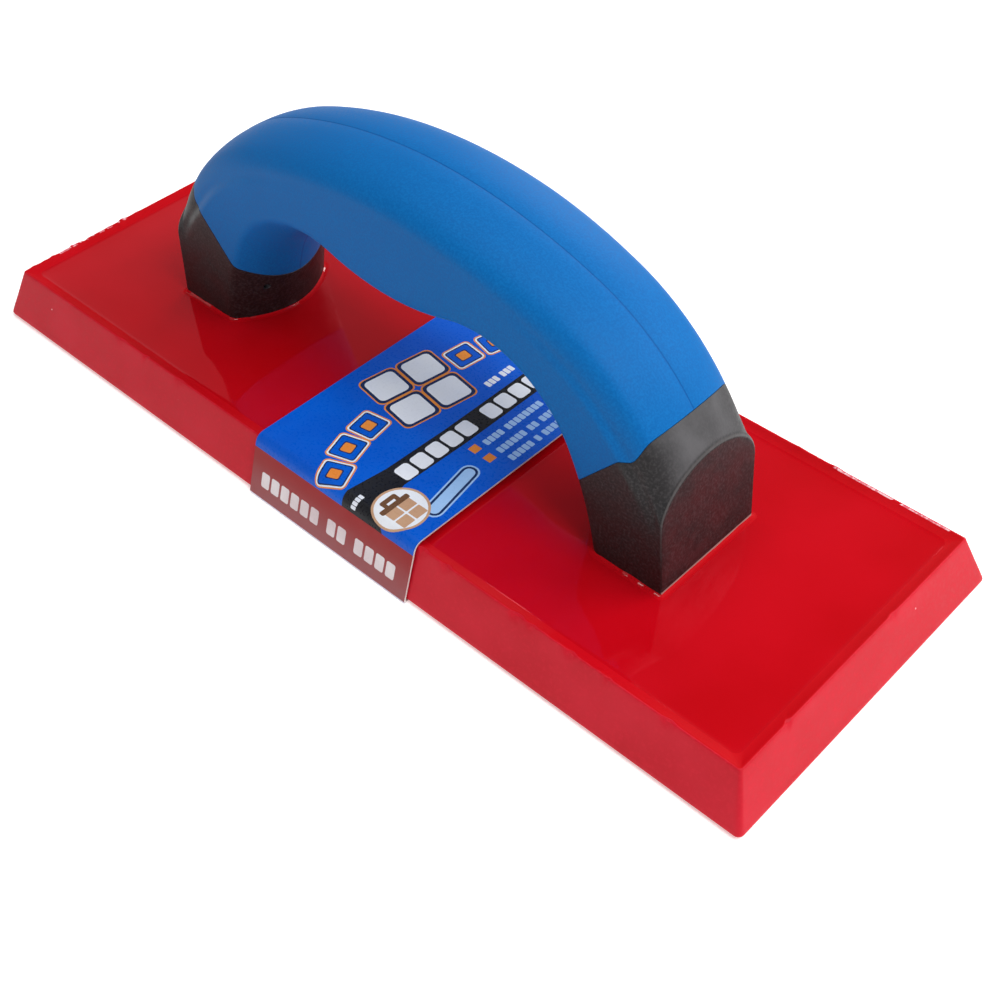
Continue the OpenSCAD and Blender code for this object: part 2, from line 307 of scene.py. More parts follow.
def new_piece(name, bm, materials, smooth_angle=40):
    """Object from a mesh in millimetres, shaded smooth but for edges over smooth_angle."""
    bmesh.ops.scale(bm, vec=Vector((MM, MM, MM)), verts=bm.verts)
    bmesh.ops.remove_doubles(bm, verts=bm.verts, dist=WELD)
    bmesh.ops.dissolve_degenerate(bm, dist=WELD, edges=bm.edges)
    bmesh.ops.recalc_face_normals(bm, faces=bm.faces)
    mesh = bpy.data.meshes.new(name)
    bm.to_mesh(mesh)
    bm.free()
    mesh.polygons.foreach_set("use_smooth", [True] * len(mesh.polygons))
    mesh.set_sharp_from_angle(angle=math.radians(smooth_angle))
    for material in materials:
        mesh.materials.append(material)
    piece = bpy.data.objects.new(name, mesh)
    bpy.context.scene.collection.objects.link(piece)
    return piece


def add_ring(bm, points):
    return [bm.verts.new(p) for p in points]


def bridge(bm, a, b, slot=0):
    """Quads between two rings with as many vertices."""
    n = len(a)
    for k in range(n):
        face = bm.faces.new((a[k], a[(k + 1) % n], b[(k + 1) % n], b[k]))
        face.material_index = slot


def fan(bm, ring_verts, slot=0):
    """Closes a flat ring from its middle."""
    n = len(ring_verts)
    middle = bm.verts.new(sum((v.co for v in ring_verts), Vector()) / n)
    for k in range(n):
        bm.faces.new((ring_verts[k], ring_verts[(k + 1) % n], middle)).material_index = slot


def inside(polygon, x, y):
    """Whether a point is in a polygon of (x, y) points."""
    odd = False
    for (x0, y0), (x1, y1) in zip(polygon, polygon[1:] + polygon[:1]):
        if (y0 > y) != (y1 > y) and x < x0 + (y - y0) / (y1 - y0) * (x1 - x0):
            odd = not odd
    return odd


# ---- Handle ----
LIP_R = 0.35  # rounding of the grip's end, and of the shoulder it butts against
LIP = [(LIP_R * math.cos(a), LIP_R * (1 - math.sin(a))) for a in (0, 0.3, 0.65, 1.0, 1.3, math.pi / 2)]


def valley_in_grip(t):
    return VALLEY_DEPTH * ease((abs(t) - 0.25) / 0.75)


def valley_in_foot(t):
    return VALLEY_DEPTH * max(0.0, 1 - (t / CREASE_T) ** 1.6) ** 0.8


def jog_in_grip(t):
    return JOG * ease((abs(t) - 0.88) / 0.12)


def jog_in_foot(t):
    return JOG * (1 - ease(t / APEX_T))


def foot_steps():
    """Places of a foot's sections as (t, inset), closer together where the end face starts."""
    run = chain_len(UPPER) - UPPER_STOP
    places = [(back / run, dip * 0.6) for dip, back in LIP]
    places += [(mix(LIP_R / run, APEX_T, k / 9), 0) for k in range(1, 9)]
    places += [(mix(APEX_T, CREASE_T, (k / 26) ** 2), 0) for k in range(27)]
    places += [(mix(CREASE_T, 1, k / 16), 0) for k in range(1, 17)]
    return places


def foot_rings(side):
    rings = []
    for t, inset in foot_steps():
        st = foot_station(t)
        rings.append(ring(st, side, jog_in_foot(t), inset=inset, cut=st.end_cut(), valley=valley_in_foot(t)))
    return rings


def arch_places(steps):
    return [k / steps for k in range(-steps, steps + 1)]


def core_mesh():
    bm = bmesh.new()
    room = GRIP_T + 0.03
    under_grip = [ring(arch_station(abs(t)), -1 if t < 0 else 1, inset=room, cut=1e3)
                  for t in arch_places(40)]
    rings = list(reversed(foot_rings(-1))) + under_grip + foot_rings(1)
    made = [add_ring(bm, r) for r in rings]
    for a, b in zip(made, made[1:]):
        bridge(bm, a, b)
    fan(bm, made[0])
    fan(bm, made[-1])
    return bm


def grip_mesh():
    bm = bmesh.new()
    run = UPPER_STOP
    places = [(t, 0.0) for t in arch_places(84)[1:-1]]
    lip = [(1 - LIP_R * (1 - math.cos(a)) / run, LIP_R * (1 - math.sin(a)))
           for a in (math.pi / 2, 1.25, 0.95, 0.6, 0.3, 0.0)]
    places = [(-t, d) for t, d in reversed(lip)] + places + lip
    outer = [ring(arch_station(abs(t)), -1 if t < 0 else 1, jog_in_grip(t), inset=d, valley=valley_in_grip(t),
                  parting=PARTING_DEPTH) for t, d in places]
    inner = [ring(arch_station(abs(t)), -1 if t < 0 else 1, inset=GRIP_T) for t in arch_places(40)]
    made = [add_ring(bm, r) for r in outer + list(reversed(inner))]
    for a, b in zip(made, made[1:] + made[:1]):
        bridge(bm, a, b)
    return bm


def drill_pin_hole(core):
    """The small blind hole in the inner face of the left foot."""
    bm = bmesh.new()
    turn = Matrix.Rotation(math.pi / 2, 4, "Y")
    centre = Vector((PIN_DEPTH - HALF_LEN + FOOT_LEN, PIN_Y, FILM_Z + PIN_H)) * MM
    bmesh.ops.create_cone(bm, cap_ends=True, segments=28, radius1=PIN_D / 2 * MM, radius2=PIN_D / 2 * MM,
                          depth=2 * PIN_DEPTH * MM, matrix=Matrix.Translation(centre) @ turn)
    mesh = bpy.data.meshes.new("pin_cutter")
    bm.to_mesh(mesh)
    bm.free()
    cutter = bpy.data.objects.new("pin_cutter", mesh)
    bpy.context.scene.collection.objects.link(cutter)
    hole = core.modifiers.new("pin_hole", "BOOLEAN")
    hole.operation = "DIFFERENCE"
    hole.solver = "EXACT"
    hole.object = cutter
    bake_modifiers(core)
    bpy.data.objects.remove(cutter)


def bake_modifiers(piece):
    """Applies a piece's modifiers to its mesh."""
    graph = bpy.context.evaluated_depsgraph_get()
    graph.update()
    mesh = bpy.data.meshes.new_from_object(piece.evaluated_get(graph))
    piece.modifiers.clear()
    piece.data = mesh


# ---- Pad ----
EDGE_COUNTS = (440, 150)  # vertices along the long and the short sides
CORNER_COUNT = 8


def rounded_loop(a, b, r):
    """(x, y, side, distance) round a rectangle, anticlockwise; sides 0 near, 1 right, 2 far, 3 left."""
    corners = [(a - r, r - b), (a - r, b - r), (r - a, b - r), (r - a, r - b)]
    points = []
    for side in range(4):
        (x0, y0), (x1, y1) = corners[side - 1], corners[side]
        start = (side - 1) * math.pi / 2
        out = (r * math.cos(start), r * math.sin(start))
        count = EDGE_COUNTS[side % 2]
        length = 2 * (a if side % 2 == 0 else b)
        for k in range(count):
            f = k / count
            points.append((mix(x0, x1, f) + out[0], mix(y0, y1, f) + out[1], side, f * length))
        for k in range(CORNER_COUNT):
            turn = start + math.pi / 2 * k / CORNER_COUNT
            points.append((x1 + r * math.cos(turn), y1 + r * math.sin(turn), side, length))
    return points


# The last slot paints glints: a pale colour on the crest that stands in for white highlights.
SIDE, FILM, RIM, WET, PAINTED_GLINT = range(5)  # material slots of the pad


def make_nicks():
    """Nicks in the crest as (side, place, half width, depth) and scraps of flash with a height."""
    rng = random.Random(11)
    nicks = []
    for side, low, high, count in ((0, 165, 250, 13), (0, 20, 160, 6), (1, 10, 88, 2), (3, 8, 90, 3)):
        for _ in range(count):
            nicks.append((side, rng.uniform(low, high), rng.uniform(0.6, 1.5), rng.uniform(0.25, 0.75)))
    flash = []
    for side, low, high, count in ((3, 46, 91, 12), (2, 34, 50, 2), (0, 150, 262, 7)):
        for _ in range(count):
            flash.append((side, rng.uniform(low, high), rng.uniform(0.5, 1.7), rng.uniform(0.10, 0.30)))
    return nicks, flash


NICKS, FLASH = make_nicks()


def bumps_at(marks, side, s):
    return sum(size * math.exp(-((s - place) / width) ** 2) for at, place, width, size in marks if at == side)


def crest_wear(x, y, side, s):
    """(how far the crest is worn in, how far it stands up) at a place along a side."""
    ragged = 0.035 * abs(noise.noise(Vector((x / 1.7, y / 1.7, 3.1))))
    ragged += 0.03 * abs(noise.noise(Vector((x / 6, y / 6, 9))))
    worn = ragged + min(0.75, bumps_at(NICKS, side, s))
    return worn, min(0.45, bumps_at(FLASH, side, s)) - 0.5 * worn


SOLE_CORNER, CREST_CORNER, FILM_CORNER = 1.6, 0.8, 2.6  # corner radii, seen from above
SOLE_ROUND, CREST_ROUND = 1.3, 0.35  # rounding of the sole's edge and the crest's
LAND_DROP = 0.03  # fall of the crest's land towards the film
DULL_SHARE = 0.72  # part of the rim's slope that is dull


def pad_profile():
    """(inset from the sole's outline, height over the sole, corner radius, crest weight, slot)."""
    slope = math.hypot(PAD_LEAN, PAD_H)
    lean = (PAD_LEAN / slope, PAD_H / slope)
    loops = [(6.0, 0.0, SOLE_CORNER, 0, SIDE), (1.4, 0.0, SOLE_CORNER, 0, SIDE)]
    edge = bezier((SOLE_ROUND, 0.0), (0.0, 0.0), (SOLE_ROUND * lean[0], SOLE_ROUND * lean[1]), 6)
    loops += [(e, z, SOLE_CORNER, 0, SIDE) for e, z in edge]
    for k in range(1, 12):
        f = mix(SOLE_ROUND, slope - CREST_ROUND, k / 11) / slope
        weight = 0.6 * ease((f - 0.9) / 0.08)
        loops.append((PAD_LEAN * f, PAD_H * f, mix(SOLE_CORNER, 0.9, f), weight, SIDE))
    start = loops[-1][:2]
    turn = bezier(start, (PAD_LEAN, PAD_H), (PAD_LEAN + CREST_ROUND, PAD_H), 4)
    loops += [(e, z, CREST_CORNER, 1.0, SIDE) for e, z in turn]
    loops.append((PAD_LEAN + RIM_LAND, PAD_H - LAND_DROP, CREST_CORNER, 0.85, RIM))
    for k in range(1, 15):
        u = k / 14
        height = PAD_H - RIM_DEPTH + (RIM_DEPTH - LAND_DROP) * (1 - u) ** 1.7
        loops.append((PAD_LEAN + RIM_LAND + RIM_SLOPE * u, height, mix(CREST_CORNER, FILM_CORNER, u),
                      0.75 * (1 - u) ** 3, RIM if u < DULL_SHARE else FILM))
    return loops


def pad_loops(bm):
    loops = []
    for inset, height, radius, weight, slot in pad_profile():
        verts = []
        for x, y, side, s in rounded_loop(PAD_LEN / 2 - inset, PAD_W / 2 - inset, radius):
            z = SOLE_Z + height
            if weight:
                worn, rise = crest_wear(x, y, side, s)
                out = ((0, -1), (1, 0), (0, 1), (-1, 0))[side]
                x -= out[0] * worn * weight
                y -= out[1] * worn * weight
                z += rise * weight
            elif slot == SIDE and 1 < height:
                wave = 0.07 * noise.noise(Vector((x / 19, y / 19, height / 7)))
                x, y = x * (1 - abs(wave) / 140), y * (1 - abs(wave) / 51)
            verts.append(bm.verts.new((x, y, z)))
        loops.append((verts, slot))
    for (a, _), (b, slot) in zip(loops, loops[1:]):
        bridge(bm, a, b, slot)
    # Painted glint: pale faces on the flash at the left end's crest and in dashed runs along the far rim.
    for face in bm.faces:
        x, y, z = face.calc_center_median()
        patchy = noise.noise(Vector((x / 1.6, y / 1.6, 5.0)))
        left = x < 0 and PAD_LEN / 2 + x < PAD_LEAN + 0.9 and -36 < y < -8 and patchy > 0.02
        far_glint_runs = noise.noise(Vector((x / 7.0, 0.0, 5.0)))  # long runs of painted glint on the far rim
        right = 96 < x < 130 and PAD_LEAN + 0.35 < PAD_W / 2 - y < PAD_LEAN + 0.75 and far_glint_runs > -0.2
        if z > CREST_Z - 0.45 and (left or right):
            face.material_index = PAINTED_GLINT
    return loops[0][0], loops[-1][0]


def inner_edge(y, z):
    """x of a foot's inner face at a place across it and a height."""
    def height(t):
        st = foot_station(t)
        return st.place(1, y, -st.sag * (1 - (y / HALF_W) ** 2))[2] - z
    st = foot_station(solve(height, 0, 1.15))
    return st.place(1, y, -st.sag * (1 - (y / HALF_W) ** 2))[0]


def foot_outline(z):
    """Outline of the right foot at a height, anticlockwise, rounded as its mesh is."""
    end = HALF_LEN - (z - CREST_Z) * math.tan(END_LEAN)
    near = inner_edge(HALF_W, z)
    reach = CORNER_ROUND / math.hypot(1, 2 * FOOT_SAG / HALF_W)
    y_in = HALF_W - reach
    half = [(end, (HALF_W - END_ROUND) * k / 10) for k in range(11)]
    half += bezier(half[-1], (end, HALF_W), (end - END_ROUND, HALF_W), EDGE_STEPS)
    side_end = near + CORNER_ROUND
    half += [(mix(end - END_ROUND, side_end, k / 12), HALF_W) for k in range(1, 13)]
    half += bezier(half[-1], (near, HALF_W), (inner_edge(y_in, z), y_in), CORNER_STEPS)
    half += [(inner_edge(y_in * (1 - k / 12), z), y_in * (1 - k / 12)) for k in range(1, 13)]
    return half + [(x, -y) for x, y in reversed(half[1:-1])]


def grown(outline, d):
    """A convex outline moved out by d."""
    n = len(outline)
    points = []
    for k, (x, y) in enumerate(outline):
        (xa, ya), (xb, yb) = outline[k - 1], outline[(k + 1) % n]
        length = math.hypot(xb - xa, yb - ya)
        points.append((x + d * (yb - ya) / length, y - d * (xb - xa) / length))
    return points


MENISCUS_H, MENISCUS_REACH = 0.5, 0.4
DASH_REACH, DASH_PITCH = 13.0, 4.6
OVERLAP = 0.05  # how far the pad's walls stand into the foot, so that no gap shows


def meniscus_z(d, place):
    """Height of the urethane that climbs a foot, at a distance from its wall."""
    uneven = 1 + 0.5 * noise.noise(Vector((place[0] / 2.6, place[1] / 2.6, 0.7)))
    return FILM_Z + MENISCUS_H * uneven * math.exp(-max(d, 0) / MENISCUS_REACH / uneven) * (1 - d / 5.0)


def socket_loops(bm, side):
    """Rings from the film to a foot's wall and closed base; returns the outermost."""
    wall = foot_outline(FILM_Z + MENISCUS_H / 2)
    rings = []
    for d in (5.0, 3.6, 2.6, 1.9, 1.4, 1.0, 0.7, 0.45, 0.25, 0.1, -OVERLAP):
        rings.append([(side * x, y, meniscus_z(d, (side * x, y))) for x, y in grown(wall, d)])
    for z in (FILM_Z - 1.5, FOOT_Z - OVERLAP):
        rings.append([(side * x, y, z) for x, y in grown(foot_outline(z), -OVERLAP)])
    made = [add_ring(bm, r) for r in rings]
    for k, (a, b) in enumerate(zip(made, made[1:])):
        bridge(bm, a, b, FILM if k < 4 else RIM)
    fan(bm, made[-1], FILM)
    for vert in made[6] + made[8]:
        for face in vert.link_faces:
            x, y, _ = face.calc_center_median()
            back = HALF_LEN - abs(x)
            dashes = x > 0 > y and back < DASH_REACH and back % DASH_PITCH < 0.55 * DASH_PITCH
            patches = x < 0 and noise.noise(Vector((x / 3.4, y / 3.4, 2.0))) > (0.0 if y < 0 else 0.3)
            if back > 0.2 and (dashes or patches):
                face.material_index = WET
    return made[0]


def fill_flat(bm, outer, holes, pitch, z, slot):
    """Triangles between an outer loop and holes, with a grid of points inside."""
    loops = [outer] + holes
    verts = [v for loop in loops for v in loop]
    points = [Vector(v.co[:2]) for v in verts]
    edges, first = [], 0
    for loop in loops:
        n = len(loop)
        edges += [(first + k, first + (k + 1) % n) for k in range(n)]
        first += n
    low = min(p.x for p in points) + pitch, min(p.y for p in points) + pitch
    high = max(p.x for p in points) - pitch / 2, max(p.y for p in points) - pitch / 2
    hole_shapes = [[tuple(v.co[:2]) for v in loop] for loop in holes]
    grown_shapes = []
    for shape in hole_shapes:
        cx, cy = (sum(p[axis] for p in shape) / len(shape) for axis in (0, 1))
        grown_shapes.append([(x + (x - cx) * 0.12, y + (y - cy) * 0.1) for x, y in shape])
    x = low[0]
    while x < high[0]:
        y = low[1]
        while y < high[1]:
            if not any(inside(shape, x, y) for shape in grown_shapes):
                points.append(Vector((x, y)))
            y += pitch
        x += pitch
    out, _, faces, origin, _, _ = delaunay_2d_cdt(points, edges, [], 0, 1e-6)
    made = []
    for p, source in zip(out, origin):
        known = source and source[0] < len(verts)
        made.append(verts[source[0]] if known else bm.verts.new((p.x, p.y, z)))
    for face in faces:
        cx = sum(out[i].x for i in face) / 3
        cy = sum(out[i].y for i in face) / 3
        if any(inside(shape, cx, cy) for shape in hole_shapes):
            continue
        bm.faces.new([made[i] for i in face]).material_index = slot


def pad_mesh():
    bm = bmesh.new()
    sole_loop, film_loop = pad_loops(bm)
    fill_flat(bm, sole_loop, [], 12.0, SOLE_Z, 0)
    openings = [socket_loops(bm, side) for side in (-1, 1)]
    fill_flat(bm, film_loop, openings, 5.0, FILM_Z, FILM)
    return bm


# ---- Band ----
BAND_T, BAND_ROOM, BAND_SLACK, BEND_R, FOLD_R = 0.5, 0.2, 0.8, 2.6, 0.2
BAND_X0, BAND_X1 = BAND_LOW.x, BAND_HIGH.x
BAND_X = (BAND_X0 + BAND_X1) / 2


def band_path():
    """Straight and curved runs of the band's outer face, from the middle of the top to the middle below.

    Each is (length, point at a length as (y, z, outward y, outward z))."""
    top, wide = CREST_Z + BAND_SLACK, PAD_W / 2 + BAND_ROOM
    lean = math.atan((wide - (PAD_W / 2 - PAD_LEAN) - BAND_SLACK) / PAD_H)
    bend_z, fold_z = top - BEND_R, BAND_T + FOLD_R
    bend_y = wide - (BEND_R + (bend_z - SOLE_Z) * math.sin(lean)) / math.cos(lean)
    fold_y = wide - (FOLD_R + (fold_z - SOLE_Z) * math.sin(lean)) / math.cos(lean)
    bend, fold = BEND_R + BAND_T, FOLD_R + BAND_T
    out = (math.cos(lean), math.sin(lean))
    side_from = (bend_y + bend * out[0], bend_z + bend * out[1])
    side_to = (fold_y + fold * out[0], fold_z + fold * out[1])
    side_len = math.dist(side_from, side_to)

    def round_by(y, z, r, start):
        return lambda s: (y + r * math.cos(start - s / r), z + r * math.sin(start - s / r),
                          math.cos(start - s / r), math.sin(start - s / r))

    return [(bend_y, lambda s: (s, top + BAND_T, 0, 1)),
            (bend * (math.pi / 2 - lean), round_by(bend_y, bend_z, bend, math.pi / 2)),
            (side_len, lambda s: (mix(side_from[0], side_to[0], s / side_len),
                                  mix(side_from[1], side_to[1], s / side_len), out[0], out[1])),
            (fold * (math.pi / 2 + lean), round_by(fold_y, fold_z, fold, lean)),
            (fold_y, lambda s: (fold_y - s, 0.0, 0, -1))]


PATH = band_path()
HALF_PATH = sum(length for length, _ in PATH)


def band_at(q):
    """(y, z, outward y, outward z) at q, which grows from the top's middle to the near side."""
    s = min(abs(q), HALF_PATH)
    for i, (length, point) in enumerate(PATH):
        if s <= length or i == len(PATH) - 1:
            y, z, out_y, out_z = point(s)
            way = -1 if q > 0 else 1
            return way * y, z, way * out_y, out_z
        s -= length


def q_at_height(z):
    """q on the near side's slope at a height."""
    start = PATH[0][0] + PATH[1][0]
    high, low = PATH[2][1](0)[1], PATH[2][1](PATH[2][0])[1]
    return start + PATH[2][0] * (high - z) / (high - low)


# Ink names are keys of the materials made for the band.
def block(x, y, long, wide, turn=0.0, corner=0.0):
    """Rounded rectangle in the print, as (x, q) points: long across the pad, wide along it."""
    a, b = wide / 2, long / 2
    corner = min(corner, a, b)
    steps = 4 if corner else 0
    points = []
    for cx, cy, start in ((a - corner, b - corner, 0), (corner - a, b - corner, 90),
                          (corner - a, corner - b, 180), (a - corner, corner - b, 270)):
        for k in range(steps + 1):
            angle = math.radians(start + (90 * k / steps if steps else 0))
            points.append((cx + corner * math.cos(angle), cy + corner * math.sin(angle)))
    c, s = math.cos(math.radians(turn)), math.sin(math.radians(turn))
    return [(x + px * c - py * s, -(y + px * s + py * c)) for px, py in points]


def disc(x, y, r, steps=36):
    return [(x + r * math.cos(2 * math.pi * k / steps), -(y + r * math.sin(2 * math.pi * k / steps)))
            for k in range(steps)]


def outlined(x, y, size, turn):
    """A small tile with orange, white and blue rims round an orange middle, as print layers."""
    return [(block(x, y, size, size, turn, 1.4), "orange"),
            (block(x, y, size - 0.8, size - 0.8, turn, 1.1), "white"),
            (block(x, y, size - 1.7, size - 1.7, turn, 0.8), "navy"),
            (block(x, y, size - 2.5, size - 2.5, turn, 0.6), "blue"),
            (block(x, y, size - 5.6, size - 5.6, turn, 0.6), "navy"),
            (block(x, y, size - 6.3, size - 6.3, turn, 0.5), "orange")]


def tile_emblem(x, y, turn):
    """Four big white tiles, each with a navy and an orange rim."""
    layers = []
    c, s = math.cos(math.radians(turn)), math.sin(math.radians(turn))
    places = [(i * 6.1, j * 6.1) for i in (-1, 1) for j in (-1, 1)]
    for size, ink in ((12.2, "orange"), (11.4, "navy"), (9.6, "white")):
        for px, py in places:
            place = x + px * c - py * s, y + px * s + py * c
            layers.append((block(*place, size, size, turn, size * 0.16), ink))
    return layers


def float_badge(x, y):
    """Round badge with a plain pictogram of a float over four tiles."""
    layers = [(disc(x, y, 7.6), "tan"), (disc(x, y, 6.9), "white")]
    for i in (-1, 1):
        for j in (-1, 1):
            layers.append((block(x + i * 1.9 + 2.0, y + j * 2.2, 3.9, 3.3, 0, 0.3), "tan"))
    layers += [(block(x - 2.2, y, 9.6, 1.7, 0, 0.5), "brown"),
               (block(x - 4.6, y, 5.4, 1.5, 0, 0.7), "brown")]
    layers += [(block(x - 3.6, y + way * 2.0, 1.3, 2.6), "brown") for way in (-1, 1)]
    return layers


def words(x, y, counts, long, wide, ink):
    """Rows of small blocks, like words, that run along +Y from y."""
    layers = []
    for count in counts:
        for _ in range(count):
            layers.append((block(x, y + long / 2, long * 0.84, wide, 0, long * 0.2), ink))
            y += long
        y += long * 0.7
    return layers


# Corners of the dark stripe across the top as (x, q); it widens towards the near side
BLACK_BAND = [(11.6, 60), (10.0, 45), (11.7, 33), (12.4, 12), (12.4, -50), (20.2, -50),
              (20.2, 12), (19.4, 34), (21.5, 42), (26.5, 52), (27.5, 60)]


def top_print():
    layers = []
    for x, y, size, turn in ((3.0, -43.2, 9.6, 24), (-1.6, -34.2, 9.6, 17), (-3.9, -24.6, 9.6, 9),
                             (-5.4, 13.2, 9.6, -7), (-3.2, 23.4, 9.4, -14), (0.4, 33.2, 9.2, -20)):
        layers += outlined(x, y, size, turn)
    layers += tile_emblem(-5.0, -5.2, -9)
    layers += [(BLACK_BAND, "black")]
    layers += words(16.3, -33.0, (5, 5), 5.55, 5.6, "white")
    layers += words(8.2, 8.0, (3, 3), 1.6, 2.4, "white")
    layers += [(block(x, y, 2.7, 2.7), "orange") for x, y in ((23.5, -12.3), (28.7, -12.2))]
    for x, y, counts in ((24.0, -9.2, (4, 8, 4)), (28.7, -9.0, (6, 2, 5)), (32.9, -9.0, (5, 1, 6))):
        layers += words(x, y, counts, 1.75, 2.3, "pale")
    for long, wide, corner, ink in ((21.0, 5.6, 2.6, "pale"), (20.0, 4.6, 2.2, "navy"),
                                    (18.6, 3.2, 1.5, "pale")):
        layers.append((block(30.0, -27.4, long, wide, 10, corner), ink))
    layers += float_badge(24.9, -40.6)
    layers += words(14.4, -48.6, (4,), 1.2, 1.7, "white")
    return layers


SIDE_EDGE_Z = 14.2  # where the red strip meets the blue
SIDE_WORDS_Z = 6.3


def side_print(way):
    """Red strip with white blocks on the near (1) or far (-1) side."""
    top, bottom = q_at_height(SIDE_EDGE_Z), HALF_PATH - PATH[4][0] - PATH[3][0] * 0.4
    layers = [([(BAND_X0 - 1, way * top), (BAND_X1 + 1, way * top), (BAND_X1 + 1, way * bottom),
                (BAND_X0 - 1, way * bottom)], "red")]
    middle = q_at_height(SIDE_WORDS_Z)
    x = BAND_X - way * 26.4
    for count in (6, 2, 4):
        for _ in range(count):
            x += way * 1.95
            layers.append(([(px, way * (middle + dq)) for px, dq in bar_along(x, 3.1, 4.6)], "faded"))
            x += way * 1.95
        x += way * 2.6
    return layers


def bar_along(x, length, tall):
    """Rounded bar along X as (x, offset) points."""
    r = 0.6
    points = []
    for cx, cy, start in ((length / 2 - r, tall / 2 - r, 0), (r - length / 2, tall / 2 - r, 90),
                          (r - length / 2, r - tall / 2, 180), (length / 2 - r, r - tall / 2, 270)):
        for k in range(5):
            a = math.radians(start + 22.5 * k)
            points.append((x + cx + r * math.cos(a), cy + r * math.sin(a)))
    return points


def clipped(polygon):
    """A polygon's points held inside the band's sheet."""
    return [(min(BAND_X1, max(BAND_X0, x)), min(HALF_PATH, max(-HALF_PATH, q))) for x, q in polygon]


def band_mesh(inks):
    """The card: outer face cut along the print, the same inside, and the cut edges."""
    layers = [(clipped(shape), ink) for shape, ink in top_print() + side_print(1) + side_print(-1)]
    points, edges = [], []

    def add_line(line, closed):
        first = len(points)
        points.extend(Vector(p) for p in line)
        n = len(line)
        edges.extend((first + k, first + (k + 1) % n) for k in range(n if closed else n - 1))

    add_line([(BAND_X0, -HALF_PATH), (BAND_X1, -HALF_PATH), (BAND_X1, HALF_PATH), (BAND_X0, HALF_PATH)], True)
    marks, run = [], 0.0
    for length, _ in PATH:
        steps = 9 if length < 6 else max(2, round(length / 6))
        marks += [run + length * k / steps for k in range(steps)]
        run += length
    for q in marks:
        for way in ((1, -1) if q else (1,)):
            add_line([(BAND_X0, way * q), (BAND_X1, way * q)], False)
    for k in range(1, 10):
        x = mix(BAND_X0, BAND_X1, k / 10)
        add_line([(x, -HALF_PATH), (x, HALF_PATH)], False)
    for shape, _ in layers:
        add_line(shape, True)
    out, _, faces, _, _, _ = delaunay_2d_cdt(points, edges, [], 0, 1e-4)
    bm = bmesh.new()
    outer, inner = [], []
    for p in out:
        y, z, out_y, out_z = band_at(p.y)
        outer.append(bm.verts.new((p.x, y, z)))
        inner.append(bm.verts.new((p.x, y - out_y * BAND_T, z - out_z * BAND_T)))
    boxes = [(min(p[0] for p in s), max(p[0] for p in s), min(p[1] for p in s), max(p[1] for p in s))
             for s, _ in layers]
    rim = {}
    for face in faces:
        cx, cq = (sum(out[i][axis] for i in face) / len(face) for axis in (0, 1))
        ink = "blue"
        for (shape, name), (x0, x1, q0, q1) in zip(layers, boxes):
            if x0 <= cx <= x1 and q0 <= cq <= q1 and inside(shape, cx, cq):
                ink = name
        bm.faces.new([outer[i] for i in face]).material_index = inks.index(ink)
        bm.faces.new([inner[i] for i in reversed(face)]).material_index = inks.index("card")
        for a, b in zip(face, face[1:] + face[:1]):
            rim[(a, b)] = True
    for a, b in rim:
        if (b, a) not in rim and abs(abs(out[a].y) - HALF_PATH) + abs(abs(out[b].y) - HALF_PATH) > 1e-4:
            bm.faces.new((outer[b], outer[a], inner[a], inner[b])).material_index = inks.index("edge")
    return bm


# ---- Materials ----

